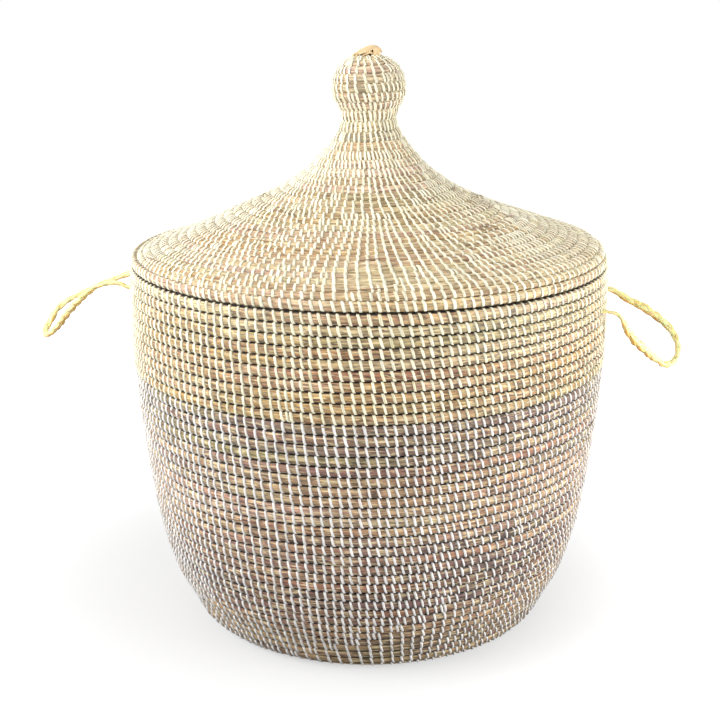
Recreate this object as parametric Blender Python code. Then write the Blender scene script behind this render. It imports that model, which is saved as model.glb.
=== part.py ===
# Lidded coiled grass basket: a round bellied body, a bell-shaped lid with a
# stuffed ball knob, and a braided loop handle on each side.
# Metres, +Z up. The origin is the centre of the flat base, on the ground.
# The handles stand on +X and -X.
import bpy
import math
from mathutils import Vector

for old_object in list(bpy.data.objects):
    bpy.data.objects.remove(old_object, do_unlink=True)

# Driving dimensions
body_height = 0.3125
belly_radius = 0.205
lid_overhang = 0.0015
lid_height = 0.1190
knob_height = 0.0530
knob_radius = 0.0297
neck_radius = 0.0212

# The grass coil that is sewn round and round
coil_pitch = 0.00844
coil_thickness = 0.0075
ridge_depth = 0.0015
rim_coil_height = 0.0093
cream_rows = 9
lid_edge_rows = 2
lid_shoulder_rows = 9
neck_rows = 5
floor_thickness = 0.0075
floor_seam = 0.0015

# The ring under the lid that drops into the mouth
ring_clearance = 0.0020
ring_width = 0.0070
ring_drop = 0.0120

# The raffia tie on the knob's tip, and the tail of the knob's stuffing
tie_stem_radius = 0.0035
tie_width = 0.0250
tie_depth = 0.0120
tie_height = 0.0066
core_tail = 0.0120

# The braided handles
braid_radius = 0.0032
leg_offset = 0.0470
handle_drop = 0.0275
handle_standoff = 0.0065
nose_radius = 0.0012
nose_gap = 0.0011
nose_length = 0.0014
knot_radius = 0.0075
knot_length = 0.0115
knot_clearance = 0.0012

# Clearance between touching pieces, how far a cutter overruns, and which points merge
gap = 0.0003
overrun = 0.0200
merge_distance = 0.00005

# How finely round shapes are divided
round_segments = 30
knob_segments = 20
small_segments = 16
tube_resolution = 2
braid_step_share = 2.5

# Outlines from the bottom up: share of the height, share of the radius
wall_shares = [(0.00, 0.749), (0.03, 0.771), (0.08, 0.807), (0.16, 0.868),
               (0.30, 0.924), (0.50, 0.967), (0.70, 0.995), (0.88, 1.000), (1.00, 0.996)]
lid_shares = [(0.000, 1.000), (0.050, 1.000), (0.097, 0.993), (0.140, 0.960), (0.210, 0.823),
              (0.292, 0.673), (0.393, 0.518), (0.511, 0.366), (0.637, 0.257), (0.763, 0.187),
              (0.889, 0.130)]
knob_shares = [(0.11, 0.758), (0.24, 0.892), (0.37, 0.976), (0.50, 1.000),
               (0.64, 0.953), (0.75, 0.882), (0.85, 0.747), (0.93, 0.589), (0.98, 0.337)]

# Each lobe of the tie: its place and half width as shares of the tie's width
lobe_place_share = 0.25
lobe_width_share = 0.29

# The two handles as they hang: across, outwards and upwards from the pivot line,
# chosen by hand along each braid
right_route = [(-0.0470, 0.0000, 0.0000), (-0.0455, 0.0060, -0.0060), (-0.0400, 0.0095, -0.0160),
               (-0.0310, 0.0165, -0.0305), (-0.0190, 0.0265, -0.0425), (-0.0080, 0.0360, -0.0530),
               (0.0020, 0.0445, -0.0590), (0.0110, 0.0525, -0.0590), (0.0210, 0.0570, -0.0530),
               (0.0310, 0.0560, -0.0440), (0.0390, 0.0465, -0.0325), (0.0445, 0.0300, -0.0215),
               (0.0465, 0.0150, -0.0130), (0.0470, 0.0060, -0.0060), (0.0470, 0.0000, 0.0000)]
left_route = [(-0.0470, 0.0000, 0.0000), (-0.0465, 0.0080, 0.0010), (-0.0440, 0.0180, -0.0010),
              (-0.0390, 0.0280, -0.0070), (-0.0320, 0.0400, -0.0170), (-0.0230, 0.0545, -0.0290),
              (-0.0120, 0.0720, -0.0435), (-0.0020, 0.0855, -0.0535), (0.0070, 0.0915, -0.0525),
              (0.0150, 0.0890, -0.0445), (0.0230, 0.0840, -0.0345), (0.0320, 0.0735, -0.0265),
              (0.0400, 0.0590, -0.0195), (0.0445, 0.0430, -0.0125), (0.0465, 0.0260, -0.0065),
              (0.0470, 0.0100, -0.0020), (0.0470, 0.0000, 0.0000)]


class Outline:
    """A smooth curve of (radius, height) points, measured by its length."""

    def __init__(self, points):
        self.points = smooth_points([Vector(p) for p in points])
        self.lengths = [0.0]
        for first, second in zip(self.points, self.points[1:]):
            self.lengths.append(self.lengths[-1] + (second - first).length)
        self.length = self.lengths[-1]

    def at(self, length):
        length = min(max(length, 0.0), self.length)
        for index in range(1, len(self.points)):
            if self.lengths[index] >= length:
                span = self.lengths[index] - self.lengths[index - 1]
                share = (length - self.lengths[index - 1]) / span
                return self.points[index - 1].lerp(self.points[index], share)
        return self.points[-1].copy()

    def outward(self, length):
        along = self.at(length + coil_pitch / 2) - self.at(length - coil_pitch / 2)
        return Vector((along.y, -along.x)).normalized()

    def inside(self, length, depth):
        return self.at(length) - self.outward(length) * depth


def smooth_points(points, cuts=10):
    """Points along a Catmull-Rom curve through the given ones, of any dimension."""
    ends = [points[0] * 2 - points[1]] + list(points) + [points[-1] * 2 - points[-2]]
    smooth = []
    for a, b, c, d in zip(ends, ends[1:], ends[2:], ends[3:]):
        for cut in range(cuts):
            t = cut / cuts
            smooth.append((b * 2 + (c - a) * t + (a * 2 - b * 5 + c * 4 - d) * t ** 2
                           + (b * 3 - a - c * 3 + d) * t ** 3) / 2)
    return smooth + [points[-1].copy()]


def even_points(points, step):
    """The same curve, with points about one step apart."""
    lengths = [0.0]
    for first, second in zip(points, points[1:]):
        lengths.append(lengths[-1] + (second - first).length)
    count = max(2, round(lengths[-1] / step))
    even = []
    index = 1
    for number in range(count + 1):
        wanted = lengths[-1] * number / count
        while index < len(lengths) - 1 and lengths[index] < wanted:
            index += 1
        share = (wanted - lengths[index - 1]) / (lengths[index] - lengths[index - 1])
        even.append(points[index - 1].lerp(points[index], share))
    return even


def height_at(points, radius):
    """The height where a run of points that draws in as it rises reaches a radius."""
    for lower, upper in zip(points, points[1:]):
        if lower.x >= radius > upper.x:
            return lower.lerp(upper, (lower.x - radius) / (lower.x - upper.x)).y
    return points[-1].y


def material(name, colour, roughness):
    finish = bpy.data.materials.new(name)
    finish.use_nodes = True
    shader = finish.node_tree.nodes["Principled BSDF"]
    shader.inputs["Base Color"].default_value = (*colour, 1.0)
    shader.inputs["Roughness"].default_value = roughness
    shader.inputs["Metallic"].default_value = 0.0
    return finish


def link(thing, parent=None, finish=None):
    bpy.context.collection.objects.link(thing)
    if parent:
        thing.parent = parent
    if finish:
        thing.data.materials.append(finish)
    return thing


def pivot(name, place):
    empty = bpy.data.objects.new(name, None)
    empty.location = place
    return link(empty)


def turned(name, profile, finish, parent=None, closed=True, segments=round_segments):
    """A solid turned about Z. The profile runs down its outer side."""
    edges = [(i, i + 1) for i in range(len(profile) - 1)]
    if closed:
        edges.append((len(profile) - 1, 0))
    mesh = bpy.data.meshes.new(name)
    mesh.from_pydata([(p.x, 0, p.y) for p in profile], edges, [])
    solid = link(bpy.data.objects.new(name, mesh), parent, finish)
    screw = solid.modifiers.new("turn", "SCREW")
    screw.steps = screw.render_steps = segments
    screw.use_merge_vertices = True
    screw.merge_threshold = merge_distance
    screw.use_smooth_shade = True
    return solid


def combine(solid, tool, how):
    """Cut a tool out of a solid, or add it. The tool itself isn't a piece."""
    tool.hide_render = True
    tool.display_type = "WIRE"
    step = solid.modifiers.new(tool.name, "BOOLEAN")
    step.operation = how
    step.object = tool


def inner_profile(outline, first, last, steps, depth):
    """The inner face, from the first length up to the last."""
    lengths = [first + (last - first) * step / steps for step in range(steps + 1)]
    return [outline.inside(length, depth) for length in lengths]


def inner_steps(rows):
    """The smooth inner face needs only half as many steps as there are rows."""
    return max(1, rows // 2)


def coil_profile(outline, first, last, rows, steps):
    """Rows of coil, ridged outside and smooth inside, between two lengths."""
    span = (last - first) / rows
    profile = []
    for row in reversed(range(rows)):
        top = first + (row + 1) * span
        profile.append(outline.inside(top, ridge_depth))
        profile.append(outline.at(top - span / 2))
    profile.append(outline.inside(first, ridge_depth))
    return profile + inner_profile(outline, first, last, steps, coil_thickness)


# Places worked out from the driving dimensions
wall = Outline([(belly_radius * r, body_height * h) for h, r in wall_shares])
rim_start = wall.length - rim_coil_height
cream_start = rim_start - cream_rows * coil_pitch
lower_rows = round(cream_start / coil_pitch)
mouth_radius = wall.inside(wall.length, coil_thickness).x

lid_radius = belly_radius + lid_overhang
lid_base = body_height + gap
lid = Outline([(lid_radius * r, lid_base + lid_height * h) for h, r in lid_shares]
              + [(neck_radius, lid_base + lid_height)])
lid_rows = round(lid.length / coil_pitch)
lid_row = lid.length / lid_rows

tie_hole_radius = tie_stem_radius + gap
knob_base = lid_base + lid_height + gap
knob_top = knob_base + knob_height
knob = Outline([(neck_radius, knob_base)]
               + [(knob_radius * r, knob_base + knob_height * h) for h, r in knob_shares]
               + [(tie_hole_radius, knob_top)])

handle_height = body_height - handle_drop
pivot_reach = belly_radius + handle_standoff
leg_places = [("front", -leg_offset), ("back", leg_offset)]


def make_base(finish):
    outer = wall.at(0)
    inner = wall.inside(0, coil_thickness)
    edge = inner.x - gap
    profile = [Vector((0, floor_thickness)), Vector((edge, floor_thickness)), Vector((edge, inner.y - gap)),
               Vector((outer.x - floor_seam, 0)), Vector((0, 0))]
    turned("base_coil", profile, finish, closed=False)


def make_wall(white, cream):
    """The wall in its two colours, with a hole for each leg, and the thicker last row."""
    half = gap / 2
    sections = [("lower_wall", 0, cream_start - half, lower_rows, white),
                ("upper_wall", cream_start + half, rim_start - half, cream_rows, cream),
                ("rim_coil", rim_start + half, wall.length, 1, cream)]
    pieces = {}
    for name, first, last, rows, finish in sections:
        pieces[name] = turned(name, coil_profile(wall, first, last, rows, inner_steps(rows)), finish)
    for end, across in leg_places:
        reach = belly_radius + overrun
        radius = braid_radius + gap
        bar = [Vector((0, reach)), Vector((radius, reach)), Vector((radius, -reach)), Vector((0, -reach))]
        hole = turned(f"{end}_handle_holes", bar, None, closed=False, segments=small_segments)
        hole.location = (0, across, handle_height)
        hole.rotation_euler = (0, math.pi / 2, 0)
        combine(pieces["upper_wall"], hole, "DIFFERENCE")


def make_lid(cream, plain):
    """The lid's stretches of coil, on the empty that it lifts by."""
    lift = pivot("lid_lift", (0, 0, body_height))
    drop = Vector((0, body_height))
    half = gap / 2
    edge_end = lid_row * lid_edge_rows
    cone_start = edge_end + lid_row * lid_shoulder_rows
    neck_start = lid.length - lid_row * neck_rows
    cone_rows = lid_rows - lid_edge_rows - lid_shoulder_rows - neck_rows
    sections = [("lid_rim_coil", 0, edge_end - half, lid_edge_rows),
                ("lid_shoulder", edge_end + half, cone_start - half, lid_shoulder_rows),
                ("lid_cone", cone_start + half, neck_start - half, cone_rows),
                ("lid_neck", neck_start + half, lid.length, neck_rows)]
    underside = []
    for name, first, last, rows in sections:
        steps = inner_steps(rows)
        turned(name, [p - drop for p in coil_profile(lid, first, last, rows, steps)], cream, lift)
        underside += [p - drop for p in inner_profile(lid, first, last, steps, coil_thickness)]
    make_locating_ring(plain, lift, underside)
    return lift


def make_locating_ring(finish, lift, underside):
    """Two rows of coil, from the lid's underside down to just inside the mouth."""
    outer = mouth_radius - ring_clearance
    inner = outer - ring_width
    top = height_at(underside, outer - ridge_depth) - gap
    seam = (top - ring_drop) / 2
    upper = (top + seam) / 2
    lower = (seam - ring_drop) / 2
    profile = [(outer - ridge_depth, top), (outer, upper), (outer - ridge_depth, seam), (outer, lower),
               (outer - ridge_depth, -ring_drop), (inner + ridge_depth, -ring_drop), (inner, lower),
               (inner + ridge_depth, seam), (inner, upper), (inner + ridge_depth, top)]
    turned("lid_locating_ring", [Vector(p) for p in profile], finish, lift)


def make_knob(cream, stuffing, raffia, lift):
    """A ball of coil over a wad of grass, whose tail runs down the neck."""
    drop = Vector((0, body_height))
    rows = round(knob.length / coil_pitch)
    shell = coil_profile(knob, 0, knob.length, rows, rows)
    shell = [Vector((max(p.x, tie_hole_radius), p.y)) - drop for p in shell]
    turned("knob_coil", shell, cream, lift, segments=knob_segments)

    depth = coil_thickness + gap
    body = list(reversed(inner_profile(knob, 0, knob.length, rows, depth)))
    body = [p for p in body if p.x > 0]
    widest = max(range(len(body)), key=lambda i: body[i].x)
    stem = min([neck_radius - depth] + [p.x for p in body[widest:]])
    body = [p for i, p in enumerate(body) if i <= widest or p.x > stem]
    tail = knob_base - core_tail
    core = [Vector((0, body[0].y))] + body
    core += [Vector((stem, body[-1].y)), Vector((stem, tail)), Vector((0, tail))]
    turned("knob_core", [p - drop for p in core], stuffing, lift, closed=False, segments=knob_segments)
    make_tie(raffia, lift)


def make_tie(finish, lift):
    """A knotted wrap of raffia on the tip, with its stem down through the coil."""
    middle = knob_top + gap + tie_height / 2 - body_height
    foot = knob_top - coil_thickness - body_height
    stem = [Vector((0, middle)), Vector((tie_stem_radius, middle)), Vector((tie_stem_radius, foot)),
            Vector((0, foot))]
    tie = turned("knob_tie", stem, finish, lift, closed=False, segments=knob_segments)
    steps = small_segments // 2
    ball = [Vector((math.sin(math.pi * step / steps), math.cos(math.pi * step / steps)))
            for step in range(steps + 1)]
    for end, side in (("left", -1), ("right", 1)):
        lobe = turned(f"{end}_tie_lobe", ball, None, lift, closed=False, segments=small_segments)
        lobe.location = (side * tie_width * lobe_place_share, 0, middle)
        lobe.scale = (tie_width * lobe_width_share, tie_depth / 2, tie_height / 2)
        combine(tie, lobe, "UNION")


def make_handle(side, name, route, finish):
    """One braided loop on its pivot line, and the two fixed legs it hangs from."""
    swing = pivot(f"{name}_handle_swing", (side * pivot_reach, 0, handle_height))
    points = smooth_points([Vector((side * out, across, up)) for across, out, up in route])
    points = even_points(points, braid_radius * braid_step_share)
    curve = bpy.data.curves.new(f"{name}_handle_loop", "CURVE")
    curve.dimensions = "3D"
    curve.bevel_depth = braid_radius
    curve.bevel_resolution = tube_resolution
    curve.use_fill_caps = True
    curve.resolution_u = 1
    curve.render_resolution_u = 0
    ball_shares = [(0.90, 0.44), (0.50, 0.87)]
    first = (points[0] - points[1]).normalized() * braid_radius
    last = (points[-1] - points[-2]).normalized() * braid_radius
    rings = [(points[0] + first * reach, size) for reach, size in ball_shares]
    rings += [(p, 1.0) for p in points]
    rings += [(points[-1] + last * reach, size) for reach, size in reversed(ball_shares)]
    spline = curve.splines.new("POLY")
    spline.points.add(len(rings) - 1)
    for ring, (place, size) in zip(spline.points, rings):
        ring.co = (*place, 1.0)
        ring.radius = size
    link(bpy.data.objects.new(f"{name}_handle_loop", curve), swing, finish)
    for end, across in leg_places:
        make_leg(f"{name}_{end}_handle_leg", side, across, finish)


def make_leg(name, side, across, finish):
    """A braid end, pointed at the pivot, through the wall to its stopper knot."""
    knot_edge = leg_offset + knot_radius
    flat_share = math.cos(math.pi / round_segments)
    inner_radius = belly_radius - coil_thickness
    knot_front = math.sqrt(inner_radius ** 2 - knot_edge ** 2) * flat_share - knot_clearance - pivot_reach
    nose = -braid_radius - nose_gap
    knot_back = knot_front - knot_length
    bulge_shares = [(0.00, 0.72), (0.25, 0.95), (0.50, 1.00), (0.75, 0.95), (1.00, 0.62)]
    profile = [Vector((0, nose)), Vector((nose_radius, nose)), Vector((braid_radius, nose - nose_length)),
               Vector((braid_radius, knot_front))]
    profile += [Vector((knot_radius * r, knot_front - knot_length * h)) for h, r in bulge_shares]
    profile.append(Vector((0, knot_back)))
    leg = turned(name, profile, finish, closed=False, segments=small_segments)
    leg.location = (side * pivot_reach, across, handle_height)
    leg.rotation_euler = (0, side * math.pi / 2, 0)


cream_grass = material("cream_stitched_grass", (0.80, 0.70, 0.48), 0.75)
white_grass = material("white_stitched_grass", (0.66, 0.58, 0.47), 0.75)
floor_grass = material("floor_grass", (0.62, 0.53, 0.38), 0.80)
ring_grass = material("ring_grass", (0.74, 0.64, 0.44), 0.80)
wad_grass = material("wad_grass", (0.60, 0.50, 0.30), 0.90)
tip_raffia = material("tip_raffia", (0.84, 0.66, 0.40), 0.60)
braid_raffia = material("braid_raffia", (0.90, 0.76, 0.40), 0.60)

make_base(floor_grass)
make_wall(white_grass, cream_grass)
lid_lift = make_lid(cream_grass, ring_grass)
make_knob(cream_grass, wad_grass, tip_raffia, lid_lift)
make_handle(1, "right", right_route, braid_raffia)
make_handle(-1, "left", left_route, braid_raffia)
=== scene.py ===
# Lidded grass storage basket: one spiral coil for the body, one for the lid, two braided handles.
import math

import bpy
import numpy as np
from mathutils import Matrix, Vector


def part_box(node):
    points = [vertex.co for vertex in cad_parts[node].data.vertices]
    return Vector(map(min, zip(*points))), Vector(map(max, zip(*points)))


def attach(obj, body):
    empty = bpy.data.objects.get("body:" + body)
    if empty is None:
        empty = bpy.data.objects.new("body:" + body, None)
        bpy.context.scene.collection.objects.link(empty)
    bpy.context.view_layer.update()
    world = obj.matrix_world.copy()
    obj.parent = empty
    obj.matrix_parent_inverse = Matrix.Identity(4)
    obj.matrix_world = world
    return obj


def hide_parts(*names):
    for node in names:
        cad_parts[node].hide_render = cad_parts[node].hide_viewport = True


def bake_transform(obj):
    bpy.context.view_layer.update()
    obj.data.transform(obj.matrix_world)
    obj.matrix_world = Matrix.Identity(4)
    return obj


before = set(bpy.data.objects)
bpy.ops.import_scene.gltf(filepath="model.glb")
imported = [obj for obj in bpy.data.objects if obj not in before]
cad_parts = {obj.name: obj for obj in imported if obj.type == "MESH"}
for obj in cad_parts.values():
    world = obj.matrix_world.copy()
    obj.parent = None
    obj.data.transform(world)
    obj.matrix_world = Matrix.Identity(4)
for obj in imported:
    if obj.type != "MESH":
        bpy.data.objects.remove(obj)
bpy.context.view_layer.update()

# Camera: fitted to the seam, the colour change and the silhouette of the photograph.
view = {
    "azimuth": 8.51,
    "distance": 1.1223,
    "height": 0.5441,
    "pitch": 16.13,
    "lens": 65.86,
    "shiftX": -0.0125,
}


def makeCamera(view):
    turn = math.radians(view["azimuth"])
    data = bpy.data.cameras.new("camera")
    data.sensor_width = 36
    data.lens = view["lens"]
    data.shift_x = view["shiftX"]
    data.clip_start = 0.01
    camera = bpy.data.objects.new("camera", data)
    camera.location = (view["distance"] * math.sin(turn), -view["distance"] * math.cos(turn), view["height"])
    camera.rotation_euler = (math.radians(90 - view["pitch"]), 0, turn)
    bpy.context.collection.objects.link(camera)
    bpy.context.scene.camera = camera


makeCamera(view)
print("camera placed")


# Shared helpers: colour, noise, paths and meshes.
def linear(text):  # a hex colour as linear red, green and blue
    parts = [int(text[i:i + 2], 16) / 255 for i in (1, 3, 5)]
    return tuple(p / 12.92 if p <= 0.04045 else ((p + 0.055) / 1.055) ** 2.4 for p in parts)


def ease(x):
    x = np.clip(x, 0, 1)
    return x * x * (3 - 2 * x)


def drift(values, scale, seed):  # smooth seeded noise from -1 to 1
    table = np.random.default_rng(seed).uniform(-1, 1, 4096)
    place = np.asarray(values, float) * scale
    low = np.floor(place).astype(int)
    part = ease(place - low)
    return table[low % 4096] * (1 - part) + table[(low + 1) % 4096] * part


def smoothThrough(points, steps):  # Catmull-Rom curve through the points
    points = np.array(points, float)
    ends = np.vstack([2 * points[0] - points[1], points, 2 * points[-1] - points[-2]])
    out = []
    for a, b, c, d in zip(ends[:-3], ends[1:-2], ends[2:-1], ends[3:]):
        for i in range(steps):
            t = i / steps
            out.append(0.5 * (2 * b + (c - a) * t + (2 * a - 5 * b + 4 * c - d) * t * t
                              + (3 * b - a - 3 * c + d) * t ** 3))
    out.append(points[-1])
    return np.array(out)


def lengthAlong(points):
    steps = np.linalg.norm(np.diff(points, axis=0), axis=1)
    return np.concatenate([[0], np.cumsum(steps)])


def evenly(points, step):
    along = lengthAlong(points)
    count = max(2, round(along[-1] / step) + 1)
    marks = np.linspace(0, along[-1], count)
    return np.stack([np.interp(marks, along, points[:, i]) for i in range(points.shape[1])], 1)


def unit(vectors):
    return vectors / np.maximum(np.linalg.norm(vectors, axis=-1, keepdims=True), 1e-12)


def carry(points, firstSide):  # direction, side and rise of a path, turned as little as possible
    direction = unit(np.gradient(points, axis=0))
    sides = []
    side = np.array(firstSide, float)
    for d in direction:
        side = unit(side - d * np.dot(side, d))
        sides.append(side)
    sides = np.array(sides)
    return direction, sides, np.cross(direction, sides)


def sweep(rings, closed=False, along=None, strips=1, girth=None):
    # rings is (tubes, rings, sides, 3); gives points, faces, strand map and bake map
    tubes, steps, sides, _ = rings.shape
    index = np.arange(tubes * steps * sides).reshape(tubes, steps, sides)
    centres = rings.mean(axis=2)
    if closed:
        centres = np.concatenate([centres, centres[:, :1]], axis=1)
    if along is None:
        gaps = np.linalg.norm(np.diff(centres, axis=1), axis=2)
        along = np.concatenate([np.zeros((tubes, 1)), np.cumsum(gaps, axis=1)], axis=1)
        along = along + np.arange(tubes)[:, None] * 0.37
    if girth is None:
        middle = rings[:, steps // 2]
        girth = np.linalg.norm(np.roll(middle, -1, axis=1) - middle, axis=2).sum(1).mean()
    segments = steps if closed else steps - 1
    later = np.roll(index, -1, axis=1)[:, :segments]
    now = index[:, :segments]
    faces = np.stack([now, np.roll(now, -1, axis=2), np.roll(later, -1, axis=2), later], axis=-1)

    k = np.arange(sides)
    corner = np.zeros((tubes, segments, sides, 4, 2))
    for i, (ringStep, sideStep) in enumerate([(0, 0), (0, 1), (1, 1), (1, 0)]):
        corner[..., i, 0] = along[:, ringStep:segments + ringStep, None]
        corner[..., i, 1] = (k + sideStep) / sides
    perStrip = math.ceil(segments / strips)
    ring = np.arange(segments)
    cell = np.arange(tubes)[:, None] * strips + ring // perStrip
    length = np.mean(along[:, -1] - along[:, 0]) / strips
    cells = tubes * strips
    columns = max(1, round(math.sqrt(cells * girth / max(length, 1e-6))))
    rows = math.ceil(cells / columns)
    bake = np.zeros_like(corner)
    for i, (ringStep, sideStep) in enumerate([(0, 0), (0, 1), (1, 1), (1, 0)]):
        part = 0.06 + 0.92 * (ring % perStrip + ringStep) / perStrip
        bake[..., i, 0] = ((cell % columns + part) / columns)[..., None]
        bake[..., i, 1] = ((cell // columns)[..., None] + 0.04 + 0.92 * (k + sideStep) / sides) / rows
    faces = [faces.reshape(-1, 4)]
    corner = [corner.reshape(-1, 4, 2)]
    bake = [bake.reshape(-1, 4, 2)]
    if not closed:
        for ringNumber, mark in ((0, 0), (steps - 1, -1)):
            for k in range(sides // 2 - 1):
                order = [k, k + 1, sides - 2 - k, sides - 1 - k]
                if ringNumber == 0:
                    order = order[::-1]
                faces.append(index[:, ringNumber][:, order])
                capStrand = np.zeros((tubes, 4, 2))
                capStrand[..., 0] = along[:, mark, None]
                capStrand[..., 1] = np.array(order) / sides
                corner.append(capStrand)
                cellEnd = np.arange(tubes) * strips + (0 if ringNumber == 0 else strips - 1)
                capBake = np.zeros((tubes, 4, 2))
                across = np.where(np.array(order) < sides / 2, 0.005, 0.05)
                capBake[..., 0] = (cellEnd % columns)[:, None] / columns + across / columns
                capBake[..., 1] = ((cellEnd // columns)[:, None] + 0.04 + 0.9 * np.array(order) / sides) / rows
                bake.append(capBake)
    return rings.reshape(-1, 3), np.concatenate(faces), np.concatenate(corner), np.concatenate(bake)


def buildMesh(name, parts, material, tones=None):
    points, faces, strand, bake = parts
    a, b, c, d = (points[faces[:, i]] for i in range(4))
    volume = (a * (np.cross(b, c) + np.cross(c, d))).sum()
    if volume < 0:
        faces, strand, bake = faces[:, ::-1], strand[:, ::-1], bake[:, ::-1]
    mesh = bpy.data.meshes.new(name)
    mesh.vertices.add(len(points))
    mesh.vertices.foreach_set("co", np.ascontiguousarray(points, np.float32).ravel())
    mesh.loops.add(faces.size)
    mesh.loops.foreach_set("vertex_index", np.ascontiguousarray(faces, np.int32).ravel())
    mesh.polygons.add(len(faces))
    mesh.polygons.foreach_set("loop_start", np.arange(0, faces.size, 4, dtype=np.int32))
    mesh.polygons.foreach_set("use_smooth", np.ones(len(faces), bool))
    mesh.update(calc_edges=True)
    for label, values in (("OFBake", bake), ("Strand", strand)):
        layer = mesh.uv_layers.new(name=label)
        layer.uv.foreach_set("vector", np.ascontiguousarray(values, np.float32).ravel())
    if tones is not None:
        layer = mesh.attributes.new("tone", "FLOAT_COLOR", "POINT")
        colour = np.ones((len(points), 4), np.float32)
        colour[:, :3] = tones
        layer.data.foreach_set("color", colour.ravel())
    mesh.materials.append(material)
    piece = bpy.data.objects.new(name, mesh)
    bpy.context.collection.objects.link(piece)
    return piece


def joinParts(several):  # meshes from several sweeps as one, each in its own band of the bake map
    points, faces, strand, bake = [], [], [], []
    start = 0
    for i, (p, f, s, b) in enumerate(several):
        band = b.copy()
        band[..., 1] = (band[..., 1] + i) / len(several)
        points.append(p)
        faces.append(f + start)
        strand.append(s)
        bake.append(band)
        start += len(p)
    return np.concatenate(points), np.concatenate(faces), np.concatenate(strand), np.concatenate(bake)


def tubeRings(path, radius, sides, firstSide=(0.0, 0.3, 1.0)):  # one round tube
    _, side, rise = carry(path, firstSide)
    turn = np.arange(sides) * 2 * math.pi / sides
    radius = np.broadcast_to(radius, (len(path),))[:, None, None]
    return (path[:, None] + side[:, None] * (np.cos(turn)[None, :, None] * radius)
            + rise[:, None] * (np.sin(turn)[None, :, None] * radius))


# Materials.
class Graph:
    def __init__(self, name):
        self.material = bpy.data.materials.new(name)
        self.material.use_nodes = True
        self.tree = self.material.node_tree
        self.tree.nodes.clear()

    def add(self, kind, inputs=None, **settings):
        node = self.tree.nodes.new(kind)
        for key, value in settings.items():
            setattr(node, key, value)
        for key, value in (inputs or {}).items():
            if isinstance(value, bpy.types.NodeSocket):
                self.tree.links.new(value, node.inputs[key])
            else:
                node.inputs[key].default_value = value
        return node

    def math(self, operation, a, b=0.0):
        return self.add("ShaderNodeMath", {0: a, 1: b}, operation=operation).outputs[0]

    def noise(self, scale, detail=2.0, shift=0.0):  # noise on the strand map, scaled along and around
        strand = self.add("ShaderNodeUVMap", uv_map="Strand").outputs["UV"]
        place = self.add("ShaderNodeMapping",
                         {"Vector": strand, "Location": (shift, shift, shift), "Scale": (*scale, 1.0)})
        node = self.add("ShaderNodeTexNoise", {"Vector": place.outputs[0], "Scale": 1.0, "Detail": detail})
        return node.outputs[0]

    def between(self, value, low, high, start=0.0, stop=1.0):
        node = self.add("ShaderNodeMapRange", {0: value, 1: low, 2: high, 3: start, 4: stop},
                        interpolation_type="SMOOTHSTEP")
        return node.outputs[0]

    def mix(self, share, first, second, blend="MIX"):
        node = self.add("ShaderNodeMix", {"Factor": share}, data_type="RGBA", blend_type=blend)
        for socket, value in ((node.inputs[6], first), (node.inputs[7], second)):
            if isinstance(value, bpy.types.NodeSocket):
                self.tree.links.new(value, socket)
            else:
                socket.default_value = (*value[:3], 1.0)
        return node.outputs[2]

    def scaled(self, colour, share):  # colour times a number
        node = self.add("ShaderNodeVectorMath", {0: colour, "Scale": share}, operation="SCALE")
        return node.outputs[0]

    def finish(self, colour, height, distance, roughness, sheen=0.0, subsurface=0.0):
        bump = self.add("ShaderNodeBump", {"Height": height, "Distance": distance, "Strength": 0.9})
        shader = self.add("ShaderNodeBsdfPrincipled",
                          {"Base Color": colour, "Roughness": roughness, "Normal": bump.outputs[0],
                           "Sheen Weight": sheen, "IOR": 1.45})
        if subsurface:
            shader.inputs["Subsurface Weight"].default_value = subsurface
            shader.inputs["Subsurface Scale"].default_value = 0.002
        output = self.add("ShaderNodeOutputMaterial")
        self.tree.links.new(shader.outputs[0], output.inputs[0])
        return self.material


wallGrassLook = {
    "straw": "#E2CFA2",
    "red": "#8E6356",
    "dark": "#2E2522",
    "strawShare": 0.6,
    "redShare": 0.5,
    "darkShare": 0.6,
    # gap and grooveShade: painted shade, the grass darkened in the groove between rows
    "gap": (0.66, 0.88),
    "grooveShade": 0.0,
    "level": 1.12,
    # lowSideShadeAndTone: painted shade with browner grass, each row darker on its lower side as seen on the basket
    "lowSideShadeAndTone": (0.62, 1.0),
    "fibre": (0.64, 1.22),
    "roughness": 0.62,
}
lidGrassLook = {
    "straw": "#F4E4B8",
    "red": "#BC8E70",
    "dark": "#6A5436",
    "strawShare": 0.6,
    "redShare": 0.5,
    "darkShare": 0.6,
    # gap and grooveShade: painted shade in the groove between rows, lighter than on the wall because the lid's rows
    # face the lamps
    "gap": (0.86, 0.99),
    "grooveShade": 0.45,
    "level": 1.08,
    # lowSideShadeAndTone: painted shade with browner grass, each row darker on its lower side as seen on the lid
    "lowSideShadeAndTone": (1.05, 0.80),
    "fibre": (0.76, 1.16),
    "roughness": 0.62,
}


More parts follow.
